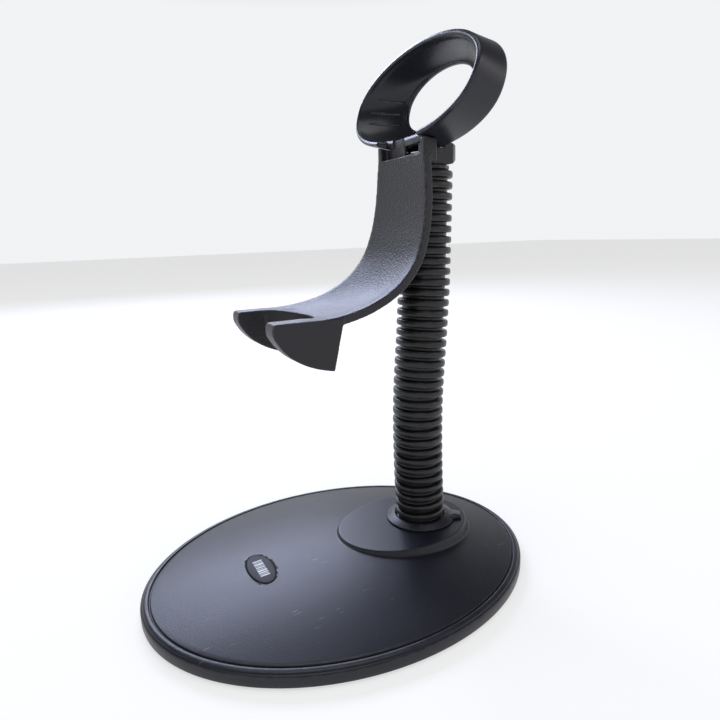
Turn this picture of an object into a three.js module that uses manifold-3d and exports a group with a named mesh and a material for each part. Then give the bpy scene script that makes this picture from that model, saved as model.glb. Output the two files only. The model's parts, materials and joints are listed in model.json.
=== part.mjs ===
// Desk stand for a handheld barcode scanner: an oval weighted base, a gooseneck and a scanner cradle.
// Millimetres, +Z up, -Y is the front. The origin is on the table at the middle of the oval base.
import * as THREE from 'three';
import { mergeVertices } from 'three/addons/utils/BufferGeometryUtils.js';
import Module from 'manifold-3d';

const wasm = await Module();
wasm.setup();

// ---- driving dimensions ----
const GAP = 0.3; // between pieces that touch
const BASE = { rx: 76, ry: 95.6, bottom: 0.8, wall: 2.4, domeR: 71, rimZ: 7.2, rise: 6.3, roof: 2.4 };
const NECK_Y = 47.5; // the neck stands this far behind the middle of the base
const PAD = { rx: 28.8, ry: 36.2, y: NECK_Y - 11.1, top: 15, bevel: 1.8 };
const PLATE = { bottom: 2.2, top: 4.2, inset: BASE.wall + 0.4 };
const WEIGHT = { rx: 60, bottom: 4.6, edgeTop: 6.2, midR: 40, midTop: 8.3, top: 10.4, holeR: 15 };
const FOOT = { r: 8, top: 1.9, pegR: 2.5, pegTop: 3.9, at: [42, 58] };
const SCREW = { headR: 2.9, headBottom: 0.7, headTop: 1.9, r: 1.2, top: 8, at: [32, 40.5] };
const POST = { r: 3.4, top: 9.2 }; // takes a screw from below
const BADGE = { rx: 12.8, ry: 5.9, thick: 1, y: NECK_Y - 89.1 };
const COLLAR = { r: 17.7, topR: 14.2, bore: 12.9, top: 17.6 };
const COLLAR_TAB = { half: 4, from: 13.6, to: 21, thick: 1.6, turn: -0.55 }; // turn in radians about the neck
const STUD = { r: 4.7, bottom: 4.8, washerR: 12, washer: 1.3, nutR: 9.8, nut: 4.8 };
const RECESS = { r: 16, top: 12.5 }; // under the pad, for the washer and nut
const RING = { r: 12.5, root: 10.3, bore: 9.2, pitch: 5, groove: 2.3 };
const CORE = { r: 8.9, bore: 6.4 };
const HINGE_Z = 22.5; // height of the lowest bend point
const RINGS_PER_LINK = 3;
const BEND_POINTS = 9;
const TOP_RINGS = 10;
const BLOCK = { bottom: 194, floor: 198, top: 203.2, halfX: 13, backY: 16.6, chamfer: 5 };
const BOLT = { r: 4, headR: 8.8, dome: 2.6, washerR: 9.2, washer: 0.8, bottom: 178 };
const TOP_FITTING = { r: 8.1, low: 176, flangeR: 11, flangeZ: 192.3 };
// The cradle's side edge as [half width, y, z], from the head down to the fork's tips.
const CRADLE_LINE = [
  [20.4, -9.4, 198],
  [21.6, -9.7, 187],
  [22.8, -10.4, 176],
  [24, -12.6, 164],
  [25.2, -17.4, 152],
  [26, -26.6, 142],
  [26.6, -39.5, 135.1],
  [27.8, -52, 131.8],
  [28.5, -62, 130.6],
  [28.5, -73, 130.6],
  [28.5, -84.6, 130.6],
];
const CRADLE = { wallSkin: 1.3, wallTo: 10, skin: 1.9, skinFrom: 18, lip: 3.8, lipFrom: 0.87, hollowTo: 0.9 };
// Depth of the hollow, and how far forward of the neck's foot each change starts or ends.
const TROUGH = { top: 0.7, topTo: 12, bend: 3, bendAt: 32, slot: 2.2, slotAt: 56, flatFrom: 72 };
const SLOT = { half: 19.3, endY: -58, skirt: 2, skirtLow: 117, skirtTop: 127.4, skirtFront: -72 };
const FIN = { half: 28.5, thick: 9.2, top: 130.2, low: 108.6, rearY: -54.3, lowRearY: -59.5, tipY: -85.4 };
// How the finger's underside curls up: run and rise of the bend, height of the nose, run of its rounding.
const FIN_CURL = { run: 6, rise: 3.6, nose: 4.4, round: 1.2 };
const HEAD = { outer: 20.4, half: 17, frontY: -9.4, sideTop: 206, webY: -5.8, webBack: -2.6, pocketR: 10.2 };
const HOOP = { y: -13.05, z: 201, tilt: 18.7, depth: 18.2, wall: 2.6, lip: 2.6, squareness: 2.33 };
const HOOP_FRONT = { rx: 49.7, up: 23.4, down: 24.1, v: 27.2 };
const HOOP_BACK = { rx: 45.6, up: 28.1, down: 22.2, v: 28 };
const HOOP_FLOOR = { rx: 31, up: 20, down: 17, v: 30.5 }; // the funnel's inner end
const HOOP_HOLE = { rx: 25.5, up: 13.4, down: 15.6, v: 31.8 };
const HOOP_NOTCH_TOP = 209; // the hoop is open in front of the head up to here
const HOOK = { x: -5.7, halfX: 4.5, y: -5.8, thick: 1.4, top: 206.4 }; // small wall the hoop clips over
const RIB_HEIGHTS = [22, 28, 34];
const UNDER_HEAD = 180; // cuts up through the head start at this height, in the open neck
const OVAL_SEGMENTS = 56;
const NECK_SEGMENTS = 16;

// ---- materials ----
const satin = { color: 0x15151a, roughness: 0.42, metalness: 0 };
const MATERIALS = {
  base_plastic: satin,
  cradle_plastic: { color: 0x1a1a20, roughness: 0.48, metalness: 0 },
  hoop_plastic: { color: 0x141419, roughness: 0.34, metalness: 0 },
  conduit_plastic: { color: 0x0d0d10, roughness: 0.4, metalness: 0 },
  badge_plastic: { color: 0x101014, roughness: 0.3, metalness: 0 },
  foot_rubber: { color: 0x1b1b1b, roughness: 0.9, metalness: 0 },
  zinc_steel: { color: 0xb9bcc0, roughness: 0.3, metalness: 1 },
  core_steel: { color: 0x8b8d90, roughness: 0.45, metalness: 1 },
  iron: { color: 0x3a3a3c, roughness: 0.7, metalness: 1 },
};

// ---- solids ----
function signedVolume(position, index) {
  const [a, b, c] = [new THREE.Vector3(), new THREE.Vector3(), new THREE.Vector3()];
  let total = 0;
  for (let i = 0; i < index.length; i += 3) {
    a.fromBufferAttribute(position, index[i]);
    b.fromBufferAttribute(position, index[i + 1]);
    c.fromBufferAttribute(position, index[i + 2]);
    total += a.dot(b.cross(c)) / 6;
  }
  return total;
}

// Welds a closed geometry, drops its flattened triangles and turns its faces outwards.
function weld(geometry) {
  const bare = geometry.index ? geometry.toNonIndexed() : geometry.clone();
  bare.deleteAttribute('normal');
  bare.deleteAttribute('uv');
  const welded = mergeVertices(bare, 1e-4);
  const index = welded.index.array;
  const kept = [];
  for (let i = 0; i < index.length; i += 3) {
    const [a, b, c] = [index[i], index[i + 1], index[i + 2]];
    if (a !== b && b !== c && c !== a) kept.push(a, b, c);
  }
  if (signedVolume(welded.attributes.position, kept) < 0) kept.reverse();
  welded.setIndex(kept);
  return welded;
}

function solid(geometry) {
  const welded = weld(geometry);
  const vertProperties = new Float32Array(welded.attributes.position.array);
  const triVerts = new Uint32Array(welded.index.array);
  return new wasm.Manifold(new wasm.Mesh({ numProp: 3, vertProperties, triVerts }));
}

function toGeometry(manifold) {
  const mesh = manifold.getMesh();
  const geometry = new THREE.BufferGeometry();
  geometry.setAttribute('position', new THREE.BufferAttribute(new Float32Array(mesh.vertProperties), 3));
  geometry.setIndex(Array.from(mesh.triVerts));
  return geometry;
}

function box(x0, x1, y0, y1, z0, z1) {
  const geometry = new THREE.BoxGeometry(x1 - x0, y1 - y0, z1 - z0);
  return solid(geometry.translate((x0 + x1) / 2, (y0 + y1) / 2, (z0 + z1) / 2));
}

function rod(radius, z0, z1, x = 0, y = 0, segments = 20) {
  const geometry = new THREE.CylinderGeometry(radius, radius, z1 - z0, segments);
  return solid(geometry.rotateX(Math.PI / 2).translate(x, y, (z0 + z1) / 2));
}

// A solid turned about +Z from [radius, height] points.
function turned(points, segments) {
  const profile = points.map(([r, z]) => new THREE.Vector2(r, z));
  return new THREE.LatheGeometry(profile, segments).rotateX(Math.PI / 2);
}

function ellipse(rx, ry, segments = 48) {
  const curve = new THREE.EllipseCurve(0, 0, rx, ry, 0, 2 * Math.PI);
  return new THREE.Shape(curve.getPoints(segments).slice(0, -1));
}

function prism(shape, z0, z1) {
  return new THREE.ExtrudeGeometry(shape, { depth: z1 - z0, bevelEnabled: false }).translate(0, 0, z0);
}

const stand = new THREE.Group();

function addPart(name, slot, geometry, parent = stand) {
  const mesh = new THREE.Mesh(weld(geometry), new THREE.MeshStandardMaterial(MATERIALS[slot]));
  mesh.name = name;
  parent.add(mesh);
}

// ---- base ----
const stretch = BASE.ry / BASE.rx;

function domeZ(r) {
  return BASE.rimZ + BASE.rise * (1 - (r / BASE.domeR) ** 2);
}

function domeArc(from, to, steps, drop) {
  return Array.from({ length: steps + 1 }, (_, i) => {
    const r = from + (to - from) * i / steps;
    return [r, domeZ(r) - drop];
  });
}

function corners([x, y]) {
  return [[x, y], [-x, y], [-x, -y], [x, -y]];
}

function baseCover() {
  const inner = BASE.rx - BASE.wall;
  const groove = [[71.4, 6.5], [72.1, 6.5], [72.4, 7]];
  const ledge = [[74.2, 6.9], [75.4, 6.2], [BASE.rx, 5], [BASE.rx, BASE.bottom], [0, BASE.bottom]];
  const outside = [...domeArc(0, BASE.domeR, 5, 0), ...groove, ...ledge];
  const hollow = [[0, 0], [inner, 0], [inner, PLATE.top + 0.4], [BASE.domeR - 1, PLATE.top + 0.7]];
  hollow.push(...domeArc(66, 0, 3, BASE.roof));
  let cover = solid(turned(outside, OVAL_SEGMENTS).scale(1, stretch, 1));
  const padHeight = PAD.top - BASE.rimZ;
  const pad = new THREE.CylinderGeometry(1, 1 + PAD.bevel / PAD.rx * 2, padHeight, 40).rotateX(Math.PI / 2);
  cover = cover.add(solid(pad.scale(PAD.rx, PAD.ry, 1).translate(0, PAD.y, BASE.rimZ + padHeight / 2)));
  cover = cover.subtract(solid(turned(hollow, OVAL_SEGMENTS).scale(1, stretch, 1)));
  for (const [x, y] of corners(SCREW.at)) {
    cover = cover.add(rod(POST.r, PLATE.top + GAP, POST.top, x, y, 16));
    cover = cover.subtract(rod(SCREW.r + 0.2, PLATE.top, SCREW.top + 0.4, x, y, 12));
  }
  cover = cover.subtract(rod(RECESS.r, 5, RECESS.top, 0, NECK_Y));
  cover = cover.subtract(rod(STUD.r + GAP, 5, PAD.top + 1, 0, NECK_Y));
  const pocket = prism(ellipse(BADGE.rx + GAP, BADGE.ry + GAP), 0, 4);
  return toGeometry(cover.subtract(solid(placeBadge(pocket))));
}

// Tilts a piece drawn on the XY plane to the dome's slope under the badge and sinks it in its pocket.
function placeBadge(geometry) {
  const r = Math.abs(BADGE.y) / stretch;
  const slope = 2 * BASE.rise * r / BASE.domeR ** 2 / stretch;
  return geometry.rotateX(Math.atan(slope)).translate(0, BADGE.y, domeZ(r) - 0.7);
}

function basePlate() {
  const outline = ellipse(BASE.rx - PLATE.inset, BASE.ry - PLATE.inset * stretch, OVAL_SEGMENTS);
  let plate = solid(prism(outline, PLATE.bottom, PLATE.top));
  for (const [x, y] of corners(FOOT.at)) plate = plate.subtract(rod(FOOT.pegR + GAP, 1, 6, x, y, 16));
  for (const [x, y] of corners(SCREW.at)) plate = plate.subtract(rod(SCREW.r + GAP, 1, 6, x, y, 12));
  return toGeometry(plate);
}

function baseWeight() {
  const { rx, bottom, edgeTop, midR, midTop, top, holeR } = WEIGHT;
  const outline = [[0, bottom], [rx, bottom], [rx, edgeTop], [midR, midTop], [0, top]];
  let weight = solid(turned(outline, 40).scale(1, stretch, 1));
  for (const [x, y] of corners(SCREW.at)) weight = weight.subtract(rod(POST.r + 2 * GAP, 0, 12, x, y, 16));
  return toGeometry(weight.subtract(rod(holeR, 0, 12, 0, NECK_Y, 32)));
}

function rubberFoot(x, y) {
  const peg = rod(FOOT.pegR, FOOT.top - 0.5, FOOT.pegTop, x, y, 16);
  return toGeometry(rod(FOOT.r, 0, FOOT.top, x, y).add(peg));
}

function baseScrew(x, y) {
  const head = rod(SCREW.headR, SCREW.headBottom, SCREW.headTop, x, y, 20);
  return toGeometry(head.add(rod(SCREW.r, SCREW.headTop - 0.3, SCREW.top, x, y, 12)));
}

// ---- foot of the neck ----
function neckCollar() {
  const low = PAD.top + GAP;
  const { r, topR, bore, top } = COLLAR;
  const ring = [[bore, low], [r, low], [r, low + 0.5], [topR, top], [bore, top]];
  const closed = [...ring, ring[0]];
  const { half, from, to, thick } = COLLAR_TAB;
  const tab = box(-half, half, from, to, low, low + thick);
  const turn = new THREE.Matrix4().makeRotationZ(COLLAR_TAB.turn);
  const collar = solid(turned(closed, 40)).add(tab.transform(turn.elements));
  return toGeometry(collar.translate(0, NECK_Y, 0));
}

function footFitting() {
  const low = PAD.top + GAP;
  const inner = CORE.bore - GAP;
  const outline = [[0, STUD.bottom], [STUD.r, STUD.bottom], [STUD.r, low]];
  outline.push([CORE.r, low], [CORE.r, low + 1.2]);
  outline.push([inner, low + 1.2], [inner, low + 5], [0, low + 5]);
  return turned(outline, NECK_SEGMENTS).translate(0, NECK_Y, 0);
}

function footWasher() {
  const top = RECESS.top - GAP;
  const disc = rod(STUD.washerR, top - STUD.washer, top, 0, NECK_Y);
  return toGeometry(disc.subtract(rod(STUD.r + GAP, 5, 14, 0, NECK_Y)));
}

function footNut() {
  const top = RECESS.top - 2 * GAP - STUD.washer;
  const hexagon = rod(STUD.nutR, top - STUD.nut, top, 0, NECK_Y, 6);
  return toGeometry(hexagon.subtract(rod(STUD.r + GAP, 4, 14, 0, NECK_Y)));
}

// ---- gooseneck ----
// The bend points lie on this gentle S-curve, [y from the neck's foot, z].
const NECK_CURVE = new THREE.CatmullRomCurve3([
  new THREE.Vector3(0, 0, 14),
  new THREE.Vector3(0, -1, 50),
  new THREE.Vector3(0, -0.6, 82),
  new THREE.Vector3(0, 2.2, 118),
  new THREE.Vector3(0, 4.1, 150),
  new THREE.Vector3(0, 5.2, 194),
]);

function neckY(z) {
  let [low, high] = [0, 1];
  for (let i = 0; i < 30; i += 1) {
    const middle = (low + high) / 2;
    if (NECK_CURVE.getPoint(middle).z < z) low = middle;
    else high = middle;
  }
  return NECK_Y + NECK_CURVE.getPoint(low).y;
}

// Ribbed tube along +Z with whole rings, each end stopping half a groove short of a bend point.
function ribbedTube(rings, low = RING.groove / 2) {
  const { r, root, bore, pitch, groove } = RING;
  const outline = [[bore, low]];
  for (let i = 0; i < rings; i += 1) {
    const start = i === 0 ? low : i * pitch + groove / 2;
    const end = (i + 1) * pitch - groove / 2;
    if (i > 0) outline.push([root, start]);
    outline.push([r, start], [r, end]);
    if (i < rings - 1) outline.push([root, end]);
  }
  outline.push([bore, rings * pitch - groove / 2], [bore, low]);
  return turned(outline, NECK_SEGMENTS);
}

function coreTube(low, high) {
  const outline = [[CORE.bore, low], [CORE.r, low], [CORE.r, high], [CORE.bore, high], [CORE.bore, low]];
  return turned(outline, NECK_SEGMENTS);
}

function bendPoint(i) {
  const z = HINGE_Z + i * RINGS_PER_LINK * RING.pitch;
  return new THREE.Vector3(0, neckY(z), z);
}

// A group standing at `from` with its +Z axis aimed at `to`.
function aimed(from, to) {
  const group = new THREE.Group();
  group.position.copy(from);
  group.rotation.x = -Math.atan2(to.y - from.y, to.z - from.z);
  stand.add(group);
  return group;
}

function addNeck() {
  const end = RING.groove / 2;
  const start = HINGE_Z - 2 * RING.pitch;
  const footLow = PAD.top + GAP - start;
  const foot = aimed(new THREE.Vector3(0, NECK_Y, start), new THREE.Vector3(0, NECK_Y, HINGE_Z));
  addPart('conduit_foot', 'conduit_plastic', ribbedTube(2, footLow), foot);
  addPart('core_foot', 'core_steel', coreTube(footLow + 1.5, 2 * RING.pitch - end), foot);
  for (let i = 0; i < BEND_POINTS - 1; i += 1) {
    const link = aimed(bendPoint(i), bendPoint(i + 1));
    const length = bendPoint(i).distanceTo(bendPoint(i + 1));
    addPart(`conduit_link_${i + 1}`, 'conduit_plastic', ribbedTube(RINGS_PER_LINK), link);
    addPart(`core_link_${i + 1}`, 'core_steel', coreTube(end, length - end), link);
  }
  const last = bendPoint(BEND_POINTS - 1);
  const top = aimed(last, new THREE.Vector3(0, neckY(BLOCK.bottom), BLOCK.bottom));
  addPart('conduit_top', 'conduit_plastic', ribbedTube(TOP_RINGS), top);
  addPart('core_top', 'core_steel', coreTube(end, TOP_FITTING.low - 1 - last.z), top);
}

// ---- head: fitting, bolt and cradle ----
const HEAD_Y = neckY(BLOCK.bottom);

function topFitting() {
  const inner = BOLT.r + GAP;
  const top = BLOCK.bottom - GAP;
  const { r, low, flangeR, flangeZ } = TOP_FITTING;
  const outline = [[inner, low], [r, low], [r, flangeZ], [flangeR, flangeZ]];
  outline.push([flangeR, top], [inner, top], [inner, low]);
  return turned(outline, NECK_SEGMENTS).translate(0, HEAD_Y, 0);
}

const BOLT_SEAT = BLOCK.floor + 2 * GAP + BOLT.washer;
const BOLT_TOP = BOLT_SEAT + BOLT.dome;

function boltWasher() {
  const low = BLOCK.floor + GAP;
  const disc = rod(BOLT.washerR, low, low + BOLT.washer, 0, HEAD_Y);
  return toGeometry(disc.subtract(rod(BOLT.r + GAP, low - 1, low + 3, 0, HEAD_Y)));
}

function neckBolt() {
  const { r, headR, dome, bottom } = BOLT;
  const outline = [[0, bottom], [r, bottom], [r, BOLT_SEAT], [headR, BOLT_SEAT], [headR, BOLT_SEAT + 0.5]];
  outline.push([headR * 0.8, BOLT_SEAT + dome * 0.62], [headR * 0.45, BOLT_SEAT + dome * 0.93]);
  outline.push([0, BOLT_TOP]);
  return turned(outline, 24).translate(0, HEAD_Y, 0);
}

const smooth = THREE.MathUtils.smoothstep;
const CRADLE_EDGE = new THREE.CatmullRomCurve3(CRADLE_LINE.map((point) => new THREE.Vector3(...point)));
const CRADLE_ROWS = 30;

// How far the trough is hollowed at the middle of the cradle, by how far forward the edge has come.
function troughDepth(y) {
  const { top, topTo, bend, bendAt, slot, slotAt, flatFrom } = TROUGH;
  const deepest = top + (bend - top) * smooth(-y, topTo, bendAt);
  return deepest + (slot - bend) * smooth(-y, bendAt, slotAt) - slot * smooth(-y, slotAt, flatFrom);
}

// A slab bent along the cradle's edge line: hollowed in front, with a deeper lip down each side.
function cradleShell() {
  const { wallSkin, wallTo, skinFrom } = CRADLE;
  const geometry = new THREE.BoxGeometry(2, 1, 1, 12, CRADLE_ROWS, 1);
  const position = geometry.attributes.position;
  for (let i = 0; i < position.count; i += 1) {
    const u = position.getX(i);
    const along = 0.5 - position.getY(i);
    const point = CRADLE_EDGE.getPointAt(along);
    const tangent = CRADLE_EDGE.getTangentAt(along).setX(0).normalize();
    const hollow = troughDepth(point.y) * (1 - Math.min(Math.abs(u) / CRADLE.hollowTo, 1) ** 2);
    const plain = wallSkin + (CRADLE.skin - wallSkin) * smooth(-point.y, wallTo, skinFrom);
    const skin = Math.abs(u) > CRADLE.lipFrom ? CRADLE.lip : plain + hollow;
    const depth = position.getZ(i) < 0 ? skin : hollow;
    position.setXYZ(i, u * point.x, point.y - tangent.z * depth, point.z + tangent.y * depth);
  }
  return solid(geometry.translate(0, NECK_Y, 0));
}

// Pushes a [y, z] outline across X from `from` to `to`.
function acrossX(shape, from, to) {
  const options = { depth: to - from, bevelEnabled: false, curveSegments: 8 };
  const geometry = new THREE.ExtrudeGeometry(shape, options);
  const turn = new THREE.Matrix4().set(0, 0, 1, from, 1, 0, 0, NECK_Y, 0, 1, 0, 0, 0, 0, 0, 1);
  return solid(geometry.applyMatrix4(turn));
}

// A fork finger's side plate.
function fin(side) {
  const { half, thick, top, low, rearY, lowRearY, tipY } = FIN;
  const { run, rise, nose, round } = FIN_CURL;
  const shape = new THREE.Shape();
  shape.moveTo(rearY, top);
  shape.lineTo(lowRearY, low);
  shape.quadraticCurveTo(tipY + run, low + rise, tipY, top - nose);
  shape.quadraticCurveTo(tipY - round / 4, top, tipY + round, top);
  return side > 0 ? acrossX(shape, half - thick, half) : acrossX(shape, -half, thick - half);
}

// The gap between the fingers, grown by `by`, with a rounded closed end.
function forkSlot(by, low, high) {
  const half = SLOT.half + by;
  const endY = SLOT.endY + by;
  const shape = new THREE.Shape();
  shape.moveTo(-half, -120);
  shape.lineTo(half, -120);
  shape.lineTo(half, endY - half);
  shape.bezierCurveTo(half, endY - half / 3, half * 0.55, endY, 0, endY);
  shape.bezierCurveTo(-half * 0.55, endY, -half, endY - half / 3, -half, endY - half);
  return solid(prism(shape, low, high).translate(0, NECK_Y, 0));
}

// A short wall under the slot's closed end, joining the two fingers.
function slotSkirt() {
  const { half, skirt, skirtLow, skirtTop, skirtFront } = SLOT;
  const reach = box(-half - 1, half + 1, NECK_Y + skirtFront, NECK_Y, skirtLow, skirtTop);
  return forkSlot(skirt, skirtLow, skirtTop).intersect(reach);
}

// The head block over the neck, with its lower back edge and its two back corners cut away.
function headBlock() {
  const { bottom, top, halfX, backY, chamfer } = BLOCK;
  const front = HEAD.frontY + 0.8;
  const shape = new THREE.Shape();
  shape.moveTo(front, bottom);
  shape.lineTo(backY - chamfer, bottom);
  shape.lineTo(backY, bottom + 2);
  shape.lineTo(backY, top);
  shape.lineTo(front, top);
  const plan = new THREE.Shape();
  plan.moveTo(-halfX, front);
  plan.lineTo(halfX, front);
  plan.lineTo(halfX, backY - chamfer);
  plan.lineTo(halfX - chamfer, backY);
  plan.lineTo(chamfer - halfX, backY);
  plan.lineTo(-halfX, backY - chamfer);
  const outline = solid(prism(plan, bottom - 1, top + 1).translate(0, NECK_Y, 0));
  return acrossX(shape, -halfX, halfX).intersect(outline);
}

function boxPair(x0, x1, ...extent) {
  return box(x0, x1, ...extent).add(box(-x1, -x0, ...extent));
}

// Shell, fingers and head block, with a notch and a round pocket for the bolt, and side walls up to the hoop.
function cradle() {
  const { outer, half, frontY, sideTop, webY, webBack, pocketR } = HEAD;
  const { bottom, floor } = BLOCK;
  const [front, web, back] = [NECK_Y + frontY, NECK_Y + webY, NECK_Y + webBack];
  let body = cradleShell().add(fin(1)).add(fin(-1)).add(slotSkirt());
  body = body.subtract(forkSlot(0, FIN.low - 5, FIN.top + 10)).add(headBlock());
  body = body.add(boxPair(pocketR, outer, web, back, bottom, sideTop));
  body = body.add(boxPair(half, outer, front, back, bottom, sideTop));
  body = body.subtract(box(-half, half, front - 1, web, floor, sideTop + 1));
  body = body.subtract(box(-pocketR, pocketR, web - 1, HEAD_Y, floor, sideTop + 1));
  body = body.subtract(rod(pocketR, floor, sideTop + 1, 0, HEAD_Y));
  body = body.subtract(rod(BOLT.r + GAP, UNDER_HEAD, BOLT_TOP, 0, HEAD_Y));
  body = body.subtract(hoopOuter(GAP));
  const { x, halfX, y, thick, top } = HOOK;
  return toGeometry(body.add(box(x - halfX, x + halfX, NECK_Y + y, NECK_Y + y + thick, floor - 1, top)));
}

// ---- hoop ----
// Bar between two ovals in planes leaned back by the hoop's tilt, w along its axis; squarer below the middle.
function ovalBar(front, back, w0, w1, segments = 48) {
  const geometry = new THREE.CylinderGeometry(1, 1, 1, segments).rotateX(Math.PI / 2);
  const position = geometry.attributes.position;
  for (let i = 0; i < position.count; i += 1) {
    const t = position.getZ(i) + 0.5;
    const oval = between(front, back, t);
    const [c, s] = [position.getX(i), position.getY(i)];
    const power = s < 0 ? 2 / HOOP.squareness : 1;
    const x = Math.sign(c) * Math.abs(c) ** power * oval.rx;
    const rise = Math.sign(s) * Math.abs(s) ** power * (s < 0 ? oval.down : oval.up);
    position.setXYZ(i, x, oval.v + rise, w0 + (w1 - w0) * t);
  }
  return solid(geometry.applyMatrix4(hoopFrame()));
}

// Takes [x, v, w] in the hoop's own frame to the stand's frame.
function hoopFrame() {
  const tilt = THREE.MathUtils.degToRad(HOOP.tilt);
  const [c, s] = [Math.cos(tilt), Math.sin(tilt)];
  return new THREE.Matrix4().set(1, 0, 0, 0, 0, s, c, NECK_Y + HOOP.y, 0, c, -s, HOOP.z, 0, 0, 0, 1);
}

function grown(oval, by) {
  return { rx: oval.rx + by, up: oval.up + by, down: oval.down + by, v: oval.v };
}

function between(a, b, t) {
  const mix = (key) => THREE.MathUtils.lerp(a[key], b[key], t);
  return { rx: mix('rx'), up: mix('up'), down: mix('down'), v: mix('v') };
}

function hoopOuter(by) {
  return ovalBar(grown(HOOP_FRONT, by), grown(HOOP_BACK, by), -by, HOOP.depth + by);
}

// A short grip rib standing off the funnel's side at height v.
function hoopRib(side, v) {
  const mouth = grown(HOOP_FRONT, -HOOP.wall);
  const floor = HOOP.depth - HOOP.lip;
  const oval = between(mouth, HOOP_FLOOR, 0.5);
  const share = Math.abs(v - oval.v) / (v < oval.v ? oval.down : oval.up);
  const power = v < oval.v ? HOOP.squareness : 2;
  const reach = oval.rx * (1 - share ** power) ** (1 / power);
  const slope = Math.atan((mouth.rx - HOOP_FLOOR.rx) / floor);
  const rib = new THREE.BoxGeometry(2.4, 1, floor * 0.95).rotateY(-side * slope);
  return solid(rib.translate(side * (reach - 0.1), v, floor / 2).applyMatrix4(hoopFrame()));
}

function hoop() {
  const floor = HOOP.depth - HOOP.lip;
  const cavity = ovalBar(grown(HOOP_FRONT, -HOOP.wall), HOOP_FLOOR, -0.01, floor);
  const hole = ovalBar(HOOP_HOLE, HOOP_HOLE, 5, HOOP.depth + 5);
  let body = hoopOuter(0).subtract(cavity).subtract(hole);
  for (const v of RIB_HEIGHTS) body = body.add(hoopRib(1, v)).add(hoopRib(-1, v));
  body = body.subtract(rod(BOLT.headR + 2 * GAP, UNDER_HEAD, BOLT_TOP + GAP, 0, HEAD_Y));
  const notch = HEAD.half + GAP;
  body = body.subtract(box(-notch, notch, NECK_Y - 30, NECK_Y + HEAD.webY - GAP, UNDER_HEAD, HOOP_NOTCH_TOP));
  const { x, halfX, y, thick, top } = HOOK;
  const [low, high] = [NECK_Y + y - GAP, NECK_Y + y + thick + GAP];
  const clip = box(x - halfX - GAP, x + halfX + GAP, low - 1, high, UNDER_HEAD, top + GAP);
  return toGeometry(body.subtract(clip));
}

// ---- assembly ----
addPart('base_cover', 'base_plastic', baseCover());
addPart('base_plate', 'base_plastic', basePlate());
addPart('base_weight', 'iron', baseWeight());
corners(FOOT.at).forEach(([x, y], i) => addPart(`rubber_foot_${i + 1}`, 'foot_rubber', rubberFoot(x, y)));
corners(SCREW.at).forEach(([x, y], i) => addPart(`base_screw_${i + 1}`, 'zinc_steel', baseScrew(x, y)));
addPart('badge', 'badge_plastic', placeBadge(prism(ellipse(BADGE.rx, BADGE.ry), GAP, GAP + BADGE.thick)));
addPart('neck_collar', 'base_plastic', neckCollar());
addPart('foot_fitting', 'zinc_steel', footFitting());
addPart('foot_washer', 'zinc_steel', footWasher());
addPart('foot_nut', 'zinc_steel', footNut());
addNeck();
addPart('top_fitting', 'zinc_steel', topFitting());
addPart('cradle', 'cradle_plastic', cradle());
addPart('bolt_washer', 'zinc_steel', boltWasher());
addPart('neck_bolt', 'zinc_steel', neckBolt());
addPart('hoop', 'hoop_plastic', hoop());

export default stand;
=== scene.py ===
import json
import math

import bmesh
import bpy
import numpy as np
from mathutils import Matrix, Vector


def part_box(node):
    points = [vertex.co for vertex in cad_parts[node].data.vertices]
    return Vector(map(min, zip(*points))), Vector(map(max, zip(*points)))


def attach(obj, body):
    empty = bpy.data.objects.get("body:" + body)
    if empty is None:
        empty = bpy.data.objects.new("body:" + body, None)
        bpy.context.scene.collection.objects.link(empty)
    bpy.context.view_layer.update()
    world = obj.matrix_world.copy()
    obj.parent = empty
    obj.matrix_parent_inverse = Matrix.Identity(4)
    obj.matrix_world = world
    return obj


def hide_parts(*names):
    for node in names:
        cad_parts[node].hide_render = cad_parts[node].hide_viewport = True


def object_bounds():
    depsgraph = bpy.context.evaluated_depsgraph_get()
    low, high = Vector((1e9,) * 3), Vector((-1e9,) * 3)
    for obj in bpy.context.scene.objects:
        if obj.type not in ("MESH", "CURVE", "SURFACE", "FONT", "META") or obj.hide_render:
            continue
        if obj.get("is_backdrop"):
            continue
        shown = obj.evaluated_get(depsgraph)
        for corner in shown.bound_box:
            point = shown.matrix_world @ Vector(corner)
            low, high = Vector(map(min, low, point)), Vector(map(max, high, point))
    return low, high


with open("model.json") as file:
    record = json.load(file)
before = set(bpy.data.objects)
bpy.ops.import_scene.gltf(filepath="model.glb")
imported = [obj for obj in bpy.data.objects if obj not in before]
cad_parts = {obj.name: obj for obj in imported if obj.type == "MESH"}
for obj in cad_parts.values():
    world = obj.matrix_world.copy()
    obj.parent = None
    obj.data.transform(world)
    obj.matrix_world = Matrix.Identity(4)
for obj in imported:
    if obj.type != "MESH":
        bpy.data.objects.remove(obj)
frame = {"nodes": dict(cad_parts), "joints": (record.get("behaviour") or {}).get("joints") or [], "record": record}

cad_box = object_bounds()
MM = 0.001


# ---- sizes, in millimetres, from the frame ----
def node_box(name):
    low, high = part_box(name)
    return np.array(low) / MM, np.array(high) / MM


def centre(name):
    low, high = node_box(name)
    return (low + high) / 2


COVER_LOW, COVER_HIGH = node_box("base_cover")
RX, RY = COVER_HIGH[0], COVER_HIGH[1]
COVER_BOTTOM, PAD_TOP = COVER_LOW[2], COVER_HIGH[2]
NECK_Y = centre("foot_fitting")[1]
HEAD_Y = centre("neck_bolt")[1]
HINGES = [np.array(joint["pos_m"]) / MM for joint in frame["joints"]]
BODIES = ["base", *[joint["child"] for joint in frame["joints"]]]

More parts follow.
